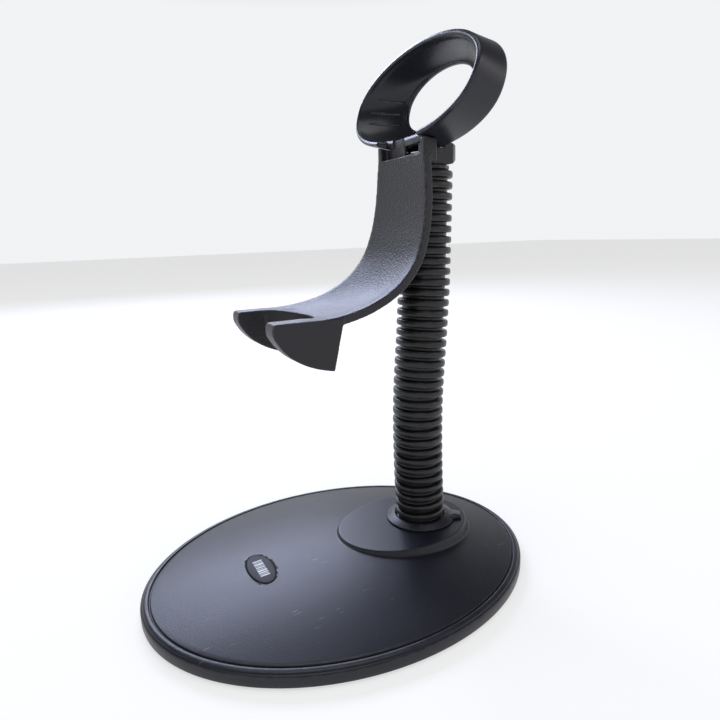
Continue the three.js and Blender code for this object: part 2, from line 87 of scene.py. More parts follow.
DOME_R, RIM_Z, RISE, ROOF = 71.0, 7.2, 6.3, 2.4
DOME_INSET, STUD_HOLE = 4.7, 5.0
PAD = {
    "rx": 27.8, "ry": 35.4, "y": NECK_Y - 11.1,
    "spread": 1.6, "run": 0.7, "slope": 0.35, "start": 0.5,
}
BADGE = {"rx": 12.8, "ry": 5.9, "y": NECK_Y - 89.1, "gap": 0.25, "pocket": (-0.75, 3)}
PITCH, TOP_RINGS = 5.0, 10


# ---- camera ----
def camera():
    """The photograph's view: where the eye stands about the neck, and how it is turned."""
    azimuth, yaw, pitch, roll = (math.radians(a) for a in (56.75, 5.98, 12.4, -1.87))
    distance, height, focal = 283.97, 163.75, 28.62
    place = Vector((math.sin(azimuth) * distance, NECK_Y - math.cos(azimuth) * distance, height))
    heading = azimuth + yaw
    flat = Vector((-math.sin(heading), math.cos(heading), 0))
    forward = flat * math.cos(pitch) - Vector((0, 0, math.sin(pitch)))
    level = Vector((math.cos(heading), math.sin(heading), 0))
    upright = level.cross(forward)
    right = math.cos(roll) * level + math.sin(roll) * upright
    up = math.cos(roll) * upright - math.sin(roll) * level
    data = bpy.data.cameras.new("camera")
    data.lens = focal
    data.sensor_width = 36
    data.clip_start = 0.01
    eye = bpy.data.objects.new("camera", data)
    eye.matrix_world = Matrix.Translation(place * MM) @ Matrix((right, up, -forward)).transposed().to_4x4()
    bpy.context.scene.collection.objects.link(eye)
    bpy.context.scene.camera = eye


camera()


# ---- materials ----
BLACK, INLAY = (0.0085, 0.009, 0.0155), (0.009, 0.009, 0.011)
PALE, INK, INK_WEAR = (0.2, 0.2, 0.22), (0.55, 0.56, 0.58), (0.8, 0.8, 0.8)


class Nodes:
    """A small builder for one material's node tree, reading object coordinates in metres."""

    def __init__(self, name):
        self.material = bpy.data.materials.new(name)
        self.material.use_nodes = True
        self.tree = self.material.node_tree
        self.shader = self.tree.nodes["Principled BSDF"]
        self.place = self.tree.nodes.new("ShaderNodeTexCoord").outputs["Object"]

    def node(self, kind, **inputs):
        made = self.tree.nodes.new(kind)
        for key, value in inputs.items():
            socket = made.inputs[key.replace("_", " ")] if isinstance(key, str) else made.inputs[key]
            self.put(value, socket)
        return made

    def put(self, value, socket):
        if isinstance(value, bpy.types.NodeSocket):
            self.tree.links.new(value, socket)
        else:
            socket.default_value = value

    def noise(self, scale, detail=2.0, rough=0.5, vector=None):
        made = self.node("ShaderNodeTexNoise", Scale=scale, Detail=detail, Roughness=rough)
        self.put(vector or self.place, made.inputs["Vector"])
        return made.outputs["Fac"]

    def stretch(self, scale, turn=(0, 0, 0)):
        made = self.node("ShaderNodeMapping")
        self.put(self.place, made.inputs["Vector"])
        made.inputs["Scale"].default_value = scale
        made.inputs["Rotation"].default_value = turn
        return made.outputs["Vector"]

    def ramp(self, value, low, high, to_low=0.0, to_high=1.0):
        made = self.node("ShaderNodeMapRange")
        self.put(value, made.inputs["Value"])
        for key, number in zip(("From Min", "From Max", "To Min", "To Max"), (low, high, to_low, to_high)):
            made.inputs[key].default_value = number
        return made.outputs["Result"]

    def math(self, operation, a, b):
        made = self.tree.nodes.new("ShaderNodeMath")
        made.operation = operation
        self.put(a, made.inputs[0])
        self.put(b, made.inputs[1])
        return made.outputs[0]

    def mix(self, factor, a, b):
        made = self.tree.nodes.new("ShaderNodeMix")
        made.data_type = "RGBA"
        self.put(factor, made.inputs[0])
        self.put(a, made.inputs[6])
        self.put(b, made.inputs[7])
        return made.outputs[2]

    def bump(self, height, strength, distance, normal=None):
        made = self.node("ShaderNodeBump", Strength=strength, Distance=distance)
        self.put(height, made.inputs["Height"])
        if normal is not None:
            self.put(normal, made.inputs["Normal"])
        return made.outputs["Normal"]


def colour(r, g, b):
    return (r, g, b, 1.0)


def worn_edges(nodes, amount):
    """0 on flat stretches, rising to amount on convex edges, broken up by noise."""
    shape = nodes.node("ShaderNodeNewGeometry").outputs["Pointiness"]
    edge = nodes.ramp(shape, 0.515, 0.56)
    patch = nodes.ramp(nodes.noise(180.0, 3.0), 0.42, 0.62)
    return nodes.math("MULTIPLY", nodes.math("MULTIPLY", edge, patch), amount)


def moulded(name, tone, rough, grain, relief, gloss=0.4, wear=0.25, dust=0.12, pale=PALE):
    """Black moulded plastic with a spark-eroded grain, patchy sheen, edge wear and a little dust."""
    n = Nodes(name)
    fine = n.noise(grain, 3.0, 0.6)
    cell = n.node("ShaderNodeTexVoronoi", Scale=grain * 0.8)
    n.put(n.place, cell.inputs["Vector"])
    pits = cell.outputs["Distance"]
    cloud = n.noise(26.0, 4.0, 0.55)
    speck = n.ramp(n.noise(2600.0, 1.0), 0.74, 0.80, 0.0, dust)
    tint = n.mix(n.ramp(cloud, 0.3, 0.7), colour(*tone), colour(*(c * 1.2 for c in tone)))
    tint = n.mix(speck, tint, colour(*pale))
    tint = n.mix(worn_edges(n, wear), tint, colour(*pale))
    n.put(tint, n.shader.inputs["Base Color"])
    uneven = n.math("ADD", n.ramp(cloud, 0.3, 0.7, -0.025, 0.025), n.ramp(fine, 0.3, 0.7, -0.05, 0.05))
    n.put(n.math("ADD", uneven, rough), n.shader.inputs["Roughness"])
    n.shader.inputs["Specular IOR Level"].default_value = gloss
    height = n.math("ADD", fine, pits)
    n.put(n.bump(height, relief, 0.00014), n.shader.inputs["Normal"])
    return n


def scratched(n, amount):
    """Fine pale scratches and scuffs over a moulded material."""
    lines = None
    for turn, scale in ((0.5, 60.0), (-0.9, 45.0), (1.9, 75.0)):
        vector = n.stretch((scale * 16, scale * 2.2, scale), (0, 0, turn))
        streak = n.ramp(n.noise(1.0, 1.0, 0.4, vector), 0.76, 0.79)
        lines = streak if lines is None else n.math("MAXIMUM", lines, streak)
    where = n.ramp(n.noise(34.0, 2.0), 0.52, 0.66)
    mask = n.math("MULTIPLY", n.math("MULTIPLY", lines, where), amount)
    base = n.shader.inputs["Base Color"].links[0].from_socket
    n.put(n.mix(mask, base, colour(0.22, 0.22, 0.24)), n.shader.inputs["Base Color"])
    return n


def metal(name, tone, rough, grain=300.0, stain=0.3):
    """Plated or bare steel with brushing, patchy roughness and faint staining."""
    n = Nodes(name)
    cloud = n.noise(150.0, 4.0)
    fine = n.noise(1.0, 2.0, 0.5, n.stretch((grain, grain, grain * 8)))
    stained = n.mix(n.ramp(cloud, 0.35, 0.75, 0.0, stain), colour(*tone), colour(*(c * 0.45 for c in tone)))
    n.put(stained, n.shader.inputs["Base Color"])
    n.shader.inputs["Metallic"].default_value = 1.0
    n.put(n.math("ADD", n.ramp(cloud, 0.3, 0.7, -0.06, 0.1), rough), n.shader.inputs["Roughness"])
    n.put(n.bump(fine, 0.15, 0.00005), n.shader.inputs["Normal"])
    return n


def cast(name):
    """Rough cast iron with patches of rust."""
    n = Nodes(name)
    rough = n.noise(900.0, 5.0, 0.65)
    rust = n.ramp(n.noise(60.0, 4.0), 0.5, 0.72)
    n.put(n.mix(rust, colour(0.09, 0.09, 0.095), colour(0.16, 0.09, 0.05)), n.shader.inputs["Base Color"])
    n.shader.inputs["Metallic"].default_value = 0.7
    n.put(n.ramp(rough, 0.2, 0.8, 0.55, 0.85), n.shader.inputs["Roughness"])
    n.put(n.bump(rough, 0.6, 0.0003), n.shader.inputs["Normal"])
    return n


MATERIALS = {
    "base_plastic": scratched(moulded("base_plastic", BLACK, 0.36, 2000.0, 0.22, wear=0.2), 0.3),
    "cradle_plastic": moulded("cradle_plastic", (0.011, 0.0105, 0.0145), 0.40, 1300.0, 0.95, wear=0.3),
    "hoop_plastic": moulded("hoop_plastic", (0.0085, 0.009, 0.014), 0.30, 2400.0, 0.08, wear=0.3),
    "conduit_plastic": moulded("conduit_plastic", (0.007, 0.007, 0.008), 0.33, 1500.0, 0.12, wear=0.2),
    "badge_plastic": moulded("badge_plastic", INLAY, 0.5, 2600.0, 0.04, gloss=0.22, wear=0.1),
    "foot_rubber": moulded("foot_rubber", (0.02, 0.02, 0.02), 0.8, 1500.0, 0.5, gloss=0.3),
    "zinc_steel": metal("zinc_steel", (0.72, 0.78, 0.8), 0.22),
    "core_steel": metal("core_steel", (0.42, 0.43, 0.44), 0.4),
    "iron": cast("iron"),
    "badge_ink": moulded("badge_ink", INK, 0.35, 2600.0, 0.05, dust=0.02, pale=INK_WEAR),
}


# ---- mesh building, in millimetres ----
GAP = 0.3  # clearance between pieces
SKIN_GRID, QUICK_FACTOR, RELAX_PASSES = 0.38, 2.4, 5


def ease(value, low, high):
    """0 up to low, 1 from high, and a smooth rise between them."""
    t = min(max((value - low) / (high - low), 0), 1)
    return t * t * (3 - 2 * t)


def loose(verts, faces, name="tool"):
    """A cleaned mesh with no material or body yet: a boolean's tool, or the start of a piece."""
    mesh = bpy.data.meshes.new(name)
    mesh.from_pydata([tuple(v) for v in np.asarray(verts, float) * MM], [], faces)
    made = bpy.data.objects.new(name, mesh)
    bpy.context.scene.collection.objects.link(made)
    tidy(made)
    return made


def dress(made, slot, body, material=None, smooth=True):
    """Gives a finished mesh its material, looked up by its slot unless another is named, and the body it rides on.
    """
    made.data.materials.clear()
    made.data.materials.append(MATERIALS[material or slot].material)
    for polygon in made.data.polygons:
        polygon.use_smooth = smooth
    tidy(made)
    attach(made, body)
    return made


def piece(name, verts, faces, slot, body, material=None, smooth=True):
    return dress(loose(verts, faces, name), slot, body, material, smooth)


def tidy(made):
    """Welds doubled points and turns every face outward."""
    work = bmesh.new()
    work.from_mesh(made.data)
    bmesh.ops.remove_doubles(work, verts=work.verts, dist=1e-7)
    bmesh.ops.recalc_face_normals(work, faces=work.faces)
    work.to_mesh(made.data)
    work.free()


def loft(loops, closed=False):
    """Vertices and faces of a surface through equal loops: closed on itself, or capped at both ends."""
    loops = [np.asarray(loop, float) for loop in loops]
    count = len(loops[0])
    verts = np.concatenate(loops)
    faces = []
    last = len(loops) if closed else len(loops) - 1
    for i in range(last):
        a, b = i * count, (i + 1) % len(loops) * count
        for j in range(count):
            k = (j + 1) % count
            faces.append((a + j, a + k, b + k, b + j))
    if not closed:
        faces.append(tuple(reversed(range(count))))
        faces.append(tuple(range((len(loops) - 1) * count, len(loops) * count)))
    return verts, faces


def circle(count):
    return np.arange(count) * 2 * math.pi / count


def oval(rx, ry, x=0.0, y=0.0, z=0.0, count=256):
    angle = circle(count)
    height = np.broadcast_to(z, (count,))
    return np.stack([x + rx * np.cos(angle), y + ry * np.sin(angle), height], axis=1)


def turned(profile, x=0.0, y=0.0, count=96):
    """A closed [radius, z] outline spun about an upright axis."""
    return loft([oval(r, r, x, y, z, count) for r, z in profile], closed=True)


def rounded(points, radius, steps=5):
    """The same closed outline with every corner replaced by a small curve."""
    points = [np.array(p, float) for p in points]
    out = []
    for i, corner in enumerate(points):
        before, after = points[i - 1] - corner, points[(i + 1) % len(points)] - corner
        reach = min(radius, 0.45 * np.linalg.norm(before), 0.45 * np.linalg.norm(after))
        start = corner + before / np.linalg.norm(before) * reach
        end = corner + after / np.linalg.norm(after) * reach
        for t in np.linspace(0, 1, steps):
            out.append((1 - t) ** 2 * start + 2 * t * (1 - t) * corner + t ** 2 * end)
    return out


def modify(made, kind, **settings):
    """Adds a modifier and applies it at once, so none is left on the piece."""
    modifier = made.modifiers.new(kind.lower(), kind)
    for key, value in settings.items():
        setattr(modifier, key, value)
    with bpy.context.temp_override(object=made, active_object=made, selected_objects=[made]):
        bpy.ops.object.modifier_apply(modifier=modifier.name)


def cut(made, tool, operation="DIFFERENCE"):
    modify(made, "BOOLEAN", operation=operation, object=tool, solver="EXACT")
    bpy.data.objects.remove(tool)


def block(x0, x1, y0, y1, z0, z1):
    corners = [(x, y, z) for z in (z0, z1) for x, y in ((x0, y0), (x1, y0), (x1, y1), (x0, y1))]
    return corners, [(3, 2, 1, 0), (4, 5, 6, 7), (0, 1, 5, 4), (1, 2, 6, 5), (2, 3, 7, 6), (3, 0, 4, 7)]


def prism(outline, axis, low, high):
    """A 2-D outline pushed from low to high along axis: 0 takes (y, z), 2 takes (x, y)."""
    loops = []
    for level in (low, high):
        points = [np.insert(np.asarray(p, float), axis, level) for p in outline]
        loops.append(points)
    return loft(loops)


def joined(shapes):
    """Several shapes' vertices and faces as one list of each."""
    verts, faces = [], []
    for points, sides in shapes:
        faces += [tuple(i + len(verts) for i in face) for face in sides]
        verts += [tuple(point) for point in points]
    return verts, faces


def fused(name, shapes, cuts, slot, body):
    """Overlapping closed shapes grown into one skin on a fine grid, cut, then relaxed to round the edges."""
    made = loose(*joined(shapes), name)
    voxel = SKIN_GRID
    modify(made, "REMESH", mode="VOXEL", voxel_size=voxel * MM, use_smooth_shade=True)
    for shape in cuts:
        cut(made, loose(*shape))
    modify(made, "REMESH", mode="VOXEL", voxel_size=voxel * MM, use_smooth_shade=True)
    modify(made, "SMOOTH", factor=0.5, iterations=RELAX_PASSES)
    return dress(made, slot, body)


# ---- base ----
def dome_z(x, y):
    """Height of the base's dome over a place."""
    reach = np.hypot(np.asarray(x) / RX, np.asarray(y) / RY) * RX
    return RIM_Z + RISE * (1 - (reach / DOME_R) ** 2)


def on_dome(loop, drop=0.0):
    return np.column_stack([loop[:, :2], dome_z(loop[:, 0], loop[:, 1]) - drop])


def pad_loops(pad_edge):
    """The soft step from the pad's edge down to the dome, wider where the dome is lower."""
    count, angle = len(pad_edge), circle(len(pad_edge))
    foot = oval(PAD["rx"] + PAD["spread"], PAD["ry"] + PAD["spread"], 0, PAD["y"], 0, count)
    drop = PAD_TOP - dome_z(foot[:, 0], foot[:, 1])
    for step in np.linspace(0, 1, 15):
        width = (PAD["run"] + PAD["slope"] * drop) * step - PAD["start"]
        loop = pad_edge.copy()
        loop[:, 0] += width * np.cos(angle)
        loop[:, 1] += width * np.sin(angle)
        loop[:, 2] = PAD_TOP + (dome_z(loop[:, 0], loop[:, 1]) - PAD_TOP) * ease(step, 0, 1)
        yield loop


def base_shell():
    """Pad, dome, rim, wall and the hollow underneath, as one surface from the neck's hole and back to it."""
    count = 320
    loops = []
    pad_edge = oval(PAD["rx"], PAD["ry"], 0, PAD["y"], PAD_TOP, count)
    hole = oval(STUD_HOLE, STUD_HOLE, 0, NECK_Y, PAD_TOP, count)
    for t in np.linspace(0, 0.96, 8):
        loops.append(hole + (pad_edge - hole) * t)
    loops += pad_loops(pad_edge)
    foot = loops[-1]
    edge = oval(RX - DOME_INSET, RY - DOME_INSET, 0, 0, 0, count)
    for t in np.linspace(0, 1, 46)[1:]:
        loops.append(on_dome(foot + (edge - foot) * t))
    lip = loops[-1][:, 2].mean()
    # From the dome's edge: a groove, the rounded ledge, the outer wall, and its inside up to the roof.
    rim = [(4.5, lip - 0.12), (4.38, lip - 0.45), (4.25, lip - 0.8), (4.0, lip - 0.9), (3.75, lip - 0.8)]
    rim += [(3.62, lip - 0.45), (3.5, lip - 0.15), (3.25, lip - 0.02), (2.6, lip), (1.9, lip - 0.12)]
    rim += [(1.35, lip - 0.38), (1.1, lip - 0.62), (1.0, lip - 0.9), (0.75, lip - 1.0), (0.45, lip - 1.15)]
    rim += [(0.15, lip - 1.5), (0.0, lip - 2.1), (0, lip - 3.6), (0, 1.6), (0.12, 1.1), (0.5, COVER_BOTTOM)]
    rim += [(2.0, COVER_BOTTOM), (2.4, 1.2), (2.4, 4.4), (3.4, 4.8), (6.0, 5.0)]
    for inset, z in rim:
        loops.append(oval(RX - inset, RY - inset, 0, 0, z, count))
    inner_edge = oval(RX - rim[-1][0], RY - rim[-1][0], 0, 0, 0, count)
    for t in np.linspace(0, 1, 16)[1:]:
        inner = inner_edge * (1 - t) + hole * t
        loops.append(on_dome(inner, ROOF))
    shell = loose(*loft(loops, closed=True), "base_shell")
    rx, ry = BADGE["rx"] + BADGE["gap"], BADGE["ry"] + BADGE["gap"]
    pocket = [badge_outline(rx, ry, z) for z in BADGE["pocket"]]
    cut(shell, loose(*loft(pocket)))
    dress(shell, "base_plastic", "base")
    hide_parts("base_cover")


def badge_outline(rx, ry, rise, count=128):
    """An oval around the badge's place, at a height above the dome's slope there."""
    loop = oval(rx, ry, 0, BADGE["y"], 0, count)
    loop[:, 2] = dome_z(loop[:, 0], loop[:, 1]) + rise
    return loop


def badge():
    rx, ry = BADGE["rx"], BADGE["ry"]
    # How far in from the edge, and how high over the dome, each ring of the rounded plate stands.
    rings = [(0.0, -0.6), (0.0, -0.02), (0.08, 0.12), (0.25, 0.22), (0.6, 0.27)]
    rings += [(2.0, 0.28), (4.5, 0.28), (5.7, 0.28)]
    loops = [badge_outline(rx - inset, ry - inset, rise) for inset, rise in rings]
    made = piece("badge_plate", *loft(loops), "badge_plastic", "base")
    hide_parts("badge")
    # A plain pictogram of bars, each with its foot sunk in the plate: where it starts, and its width.
    thin, medium, thick, tall = 0.45, 0.9, 1.3, 2.2
    sunk, crest = 0.1, 0.34
    bars = [(-6.6, medium), (-5.1, thin), (-4.0, thick), (-2.1, thin), (-1.0, medium)]
    bars += [(0.6, thin), (1.6, thick), (3.5, medium), (5.0, thin), (6.0, medium)]
    shapes = []
    for x, width in bars:
        corners, sides = block(x, x + width, BADGE["y"] - tall, BADGE["y"] + tall, sunk, crest)
        corners = np.array(corners, float)
        corners[:, 2] += dome_z(corners[:, 0], corners[:, 1])
        shapes.append((corners, sides))
    piece("badge_bars", *joined(shapes), "badge_plastic", "base", "badge_ink", smooth=False)


TAB_TURN, TAB_HALF = -0.55, 4.2  # radians about the neck, and half the tab's width


def collar():
    """A low cone round the neck's foot, with a wedge-shaped tab on one side."""
    outline = [(12.95, 15.3), (17.9, 15.3), (17.9, 15.9), (14.4, 17.55), (13.0, 17.6)]
    made = loose(*turned(rounded(outline, 0.6, 6), 0, NECK_Y, 160), "collar_ring")
    ramp = [(14.0, 15.35), (21.4, 15.35), (21.4, 15.7), (14.6, 17.2)]
    verts, faces = prism(rounded(ramp, 0.4, 4), 0, -TAB_HALF, TAB_HALF)
    x, y = verts[:, 0].copy(), verts[:, 1].copy()
    c, s = math.cos(TAB_TURN), math.sin(TAB_TURN)
    verts[:, 0] = x * c - y * s
    verts[:, 1] = NECK_Y + x * s + y * c
    cut(made, loose(verts, faces), "UNION")
    dress(made, "base_plastic", "base")
    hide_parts("neck_collar")


def rubber_feet():
    for i in range(1, 5):
        name = f"rubber_foot_{i}"
        (x, y, _), (low, high) = centre(name), node_box(name)
        outline = [(0.05, 0.0), (6.6, 0.0), (7.6, 0.5), (8.0, 1.2), (8.0, 1.9), (2.5, 1.9)]
        outline += [(2.5, high[2]), (0.05, high[2])]
        foot = piece(f"foot_pad_{i}", *turned(rounded(outline, 0.35, 4), x, y, 64), "foot_rubber", "base")
        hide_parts(name)


# ---- gooseneck ----
NECK_FOOT, NECK_TOP, NECK_END = 14.0, 194.0, 198.0
NECK_LINE = [np.array([0, NECK_Y, NECK_FOOT])] + HINGES
NECK_LINE += [np.array([0, HEAD_Y, NECK_TOP]), np.array([0, HEAD_Y, NECK_END])]


def neck_at(z):
    """Centre and direction of the neck at height z, on a smooth line through its bend points."""
    heights = [p[2] for p in NECK_LINE]
    i = min(max(int(np.searchsorted(heights, z)) - 1, 0), len(heights) - 2)
    span = heights[i + 1] - heights[i]
    t = (z - heights[i]) / span

    def slope(k):
        low, high = max(k - 1, 0), min(k + 1, len(heights) - 1)
        return (NECK_LINE[high][1] - NECK_LINE[low][1]) / (heights[high] - heights[low])

    a, b, da, db = NECK_LINE[i][1], NECK_LINE[i + 1][1], slope(i) * span, slope(i + 1) * span
    y = (2 * t**3 - 3 * t**2 + 1) * a + (t**3 - 2 * t**2 + t) * da
    y += (3 * t**2 - 2 * t**3) * b + (t**3 - t**2) * db
    rate = ((6 * t**2 - 6 * t) * (a - b) + (3 * t**2 - 4 * t + 1) * da + (3 * t**2 - 2 * t) * db) / span
    return np.array([0, y, z]), rate


# One ring of the tube, [height from its middle, radius], from the groove below it.
RING_PROFILE = [(-2.5, 10.35), (-1.85, 10.4), (-1.68, 10.7), (-1.62, 11.6), (-1.56, 12.15), (-1.36, 12.5)]
RING_PROFILE += [(-1.0, 12.68), (-0.3, 12.75), (0.4, 12.75), (1.05, 12.64), (1.38, 12.42), (1.56, 12.1)]
RING_PROFILE += [(1.62, 11.5), (1.68, 10.7), (1.85, 10.4)]
NECK_BORE, GROOVE_R, STUB_TOP = 9.3, 10.35, 193.6
# At a bend point a ball fills the groove, and each sleeve's end is hollowed into a socket that turns over it.
BALL_REACH, BALL_BORE, SOCKET_R, SOCKET_DEPTH = 2.3, 9.55, 10.6, 4.05


def neck_ring(y, z, rate, r, count=96):
    """A ring of points round [y, z], square to the neck's line there."""
    ring, lean = oval(r, r, 0, 0, 0, count), math.atan(rate)
    return np.column_stack([ring[:, 0], y + ring[:, 1] * math.cos(lean), z - ring[:, 1] * math.sin(lean)])


def sleeve(name, z_low, z_high, body, node, floor=None):
    """Whole rings of the corrugated tube between two bend points, stiff, with a socket at each bend."""
    outline = []
    for ring in range(round((z_high - z_low) / PITCH)):
        middle = z_low + (ring + 0.5) * PITCH
        outline += [(middle + dz, r) for dz, r in RING_PROFILE]
    if floor:
        crest = max(r for _, r in RING_PROFILE)
        outline = [(floor, crest)] + [point for point in outline if point[0] > floor]
        inside = [(floor, NECK_BORE)]
    else:
        outline = outline[2:]
        socket = z_low + SOCKET_DEPTH
        inside = [(socket, NECK_BORE), (socket, SOCKET_R), (outline[0][0], SOCKET_R)]
    if body == "head":
        outline += [(z_high, GROOVE_R), (STUB_TOP, GROOVE_R), (STUB_TOP, NECK_BORE)]
    else:
        outline = outline[:-1]
        socket = z_high - SOCKET_DEPTH
        outline += [(outline[-1][0], SOCKET_R), (socket, SOCKET_R), (socket, NECK_BORE)]
    loops = []
    for z, r in outline + inside:
        (_, y, _), rate = neck_at(z)
        loops.append(neck_ring(y, z, rate, r))
    made = piece(name, *loft(loops, closed=True), "conduit_plastic", body)
    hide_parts(node)


def knuckle(name, hinge, body):
    """The groove's floor at a bend point, part of a sphere about the hinge, so no gap opens as it turns."""
    _, rate = neck_at(hinge[2])
    along = np.array([rate, 1]) / math.hypot(rate, 1)
    outline = [(math.sqrt(GROOVE_R**2 - d**2), d) for d in np.linspace(-BALL_REACH, BALL_REACH, 13)]
    outline += [(BALL_BORE, BALL_REACH), (BALL_BORE, -BALL_REACH)]
    loops = [neck_ring(*(hinge[1:] + d * along), rate, r) for r, d in outline]
    piece(name, *loft(loops, closed=True), "conduit_plastic", body)


def neck():
    bends = [hinge[2] for hinge in HINGES]
    sleeve("neck_sleeve_foot", bends[0] - 2 * PITCH, bends[0], "base", "conduit_foot", floor=PAD_TOP + GAP)
    for i in range(1, len(HINGES)):
        sleeve(f"neck_sleeve_{i}", bends[i - 1], bends[i], BODIES[i], f"conduit_link_{i}")
    sleeve("neck_sleeve_top", bends[-1], bends[-1] + TOP_RINGS * PITCH, "head", "conduit_top")
    for i, hinge in enumerate(HINGES):
        knuckle(f"neck_knuckle_{i + 1}", hinge, BODIES[i])


# ---- cradle ----
# The cradle's side edge as half width, y from the neck's foot, and z, from the head to the fork's tips.
CRADLE_LINE = np.array([
    (20.4, -9.4, 198.0),
    (21.6, -9.7, 187.0),
    (22.8, -10.4, 176.0),
    (24.0, -12.6, 164.0),
    (25.2, -17.4, 152.0),
    (26.0, -26.6, 142.0),
    (26.6, -39.5, 135.1),
    (27.8, -52.0, 131.8),
    (28.5, -62.0, 130.6),
    (28.5, -73.0, 130.6),
    (28.5, -84.6, 130.6),
])
HEAD = {
    "outer": 20.4, "half": 17.0, "front": -9.4, "top": 206.0,
    "web": -5.8, "web_back": -2.6, "pocket": 10.2,
}
BLOCK = {
    "bottom": 194.0, "floor": 198.0, "top": 203.2, "half": 13.0, "back": 16.6,
    "chamfer": 5.0, "bevel": 2.0, "lap": 0.8,
}
BOLT_HOLE = {"r": 4.3, "low": 180, "high": 204}
SLOT = {"half": 19.3, "end": -58.0, "mouth": -60.0, "low": 100, "high": 140}
SKIRT = {"thick": 2.0, "run": 14, "low": 117.0, "top": 128.6}
PLATE = {"thin": 1.3, "more": 0.6, "lip": 3.8, "lip_from": 0.84, "lip_full": 0.9, "hollow_edge": 0.93}
FIN = {"half": 28.5, "thick": 9.2, "top": 130.2, "low": 108.6, "rear": -54.3, "low_rear": -59.5, "tip": -85.4}
HOOK = {"x": -5.7, "half": 4.5, "y": -5.8, "thick": 1.4, "top": 206.4, "round": 0.3, "room": 1.3}
HOOP = {"y": -13.05, "z": 201.0, "tilt": 18.7, "depth": 18.2, "wall": 2.6, "lip": 2.6, "square": 2.33}
# Each oval is half width, height above and below its middle, and the middle's height.
FRONT_OVAL = np.array([49.7, 23.4, 24.1, 27.2])
BACK_OVAL = np.array([45.6, 28.1, 22.2, 28.0])
HOLE_OVAL = np.array([25.5, 13.4, 15.6, 31.8])
RIB_HEIGHTS = (22.0, 28.0, 34.0)
BOLT = {"r": 8.8, "rise": 2.6, "shank": 4.0, "edge": 0.5, "slot": 3.0, "slot_half": 0.7, "slot_floor": 1.0}
HOOP_CLEARANCE = 0.35  # between the hoop and the cradle round it
# Lowest and highest z of the hollows that the hoop leaves for the head's front lip and the bolt's dome.
LIP_ROOM, BOLT_ROOM = (190, 209), (195, 202.5)
CATCH_LOW, LIP_REACH = 180, 30
BEYOND = 20  # half the width of a cut that runs past both sides of the head


def spine(count):
    """Even [half width, y, z] points along the cradle's edge, and the [y, z] direction to its back."""
    knots = CRADLE_LINE
    place = np.r_[0, np.cumsum(np.sqrt(np.linalg.norm(np.diff(knots, axis=0), axis=1)))]
    slope = np.gradient(knots, place, axis=0)
    dense = np.linspace(0, place[-1], 2000)
    k = np.clip(np.searchsorted(place, dense, side="right") - 1, 0, len(knots) - 2)
    span = (place[k + 1] - place[k])[:, None]
    t = (dense - place[k])[:, None] / span
    line = (2 * t**3 - 3 * t**2 + 1) * knots[k] + (t**3 - 2 * t**2 + t) * span * slope[k]
    line += (3 * t**2 - 2 * t**3) * knots[k + 1] + (t**3 - t**2) * span * slope[k + 1]
    length = np.r_[0, np.cumsum(np.linalg.norm(np.diff(line, axis=0), axis=1))]
    even = np.linspace(0, length[-1], count)
    points = np.stack([np.interp(even, length, line[:, i]) for i in range(3)], axis=1)
    tangent = np.gradient(points[:, 1:], axis=0)
    tangent /= np.linalg.norm(tangent, axis=1)[:, None]
    return points, np.stack([-tangent[:, 1], tangent[:, 0]], axis=1)


def trough(y):
    """How far the cradle's middle is hollowed below its edges, at a y from the neck's foot."""
    deepest = 0.7 + 2.3 * ease(-y, 12, 32)
    return deepest - 0.8 * ease(-y, 32, 56) - 2.2 * ease(-y, 56, 72)


def cradle_skin():
    """The bent, hollowed plate with a deeper lip down each side."""
    across = np.linspace(-1, 1, 73)
    loops = []
    for (half, y, z), (ny, nz) in zip(*spine(200)):
        plain = PLATE["thin"] + PLATE["more"] * ease(-y, 10, 18)
        front, back = [], []
        for u in across:
            hollow = trough(y) * (1 - min(abs(u) / PLATE["hollow_edge"], 1) ** 2)
            lip = ease(abs(u), PLATE["lip_from"], PLATE["lip_full"])
            skin = (plain + hollow) * (1 - lip) + PLATE["lip"] * lip
            front.append((u * half, NECK_Y + y + ny * hollow, z + nz * hollow))
            back.append((u * half, NECK_Y + y + ny * skin, z + nz * skin))
        loops.append(front + back[::-1])
    return loft(loops)


def bend(points, steps):
    """A curve from the first point to the last, pulled towards the middle one, without its start."""
    a, b, c = (np.array(point, float) for point in points)
    places = np.linspace(0, 1, steps + 1)[1:]
    return [tuple((1 - t) ** 2 * a + 2 * t * (1 - t) * b + t * t * c) for t in places]


def finger(side):
    """One prong of the fork: a straight rear, a curved underside and a rounded tip."""
    tip, low, top = FIN["tip"], FIN["low"], FIN["top"]
    outline = [(FIN["rear"], top), (FIN["low_rear"], low)]
    outline += bend([(FIN["low_rear"], low), (tip + 6, low + 3.6), (tip, top - 4.4)], 16)
    outline += bend([(tip, top - 4.4), (tip - 0.3, top), (tip + 1.2, top)], 6)
    inner, outer = sorted((side * (FIN["half"] - FIN["thick"]), side * FIN["half"]))
    return prism([(NECK_Y + y, z) for y, z in outline], 0, inner, outer)


def slot_outline(grow=0.0):
    """The fork's opening from above: straight sides, closed by a smooth arch."""
    half, end = SLOT["half"] + grow, NECK_Y + SLOT["end"] + grow
    side = [(half, end - half), (half, end - half / 3), (half * 0.55, end), (0.0, end)]
    a, b, c, d = (np.array(point) for point in side)
    curve = [(1 - t) ** 3 * a + 3 * t * (1 - t) ** 2 * b + 3 * t * t * (1 - t) * c + t**3 * d
             for t in np.linspace(0, 1, 16)]
    mirrored = [np.array([-x, y]) for x, y in curve[-2::-1]]
    return [(-half, SLOT["mouth"]), (half, SLOT["mouth"]), *curve, *mirrored]


def skirt():
    """The short wall that joins the two fingers under the slot's closed end."""
    front = NECK_Y + SLOT["end"] - SKIRT["run"]
    low = [(x, max(y, front)) for x, y in slot_outline(SKIRT["thick"])]
    return prism(low[1:], 2, SKIRT["low"], SKIRT["top"])


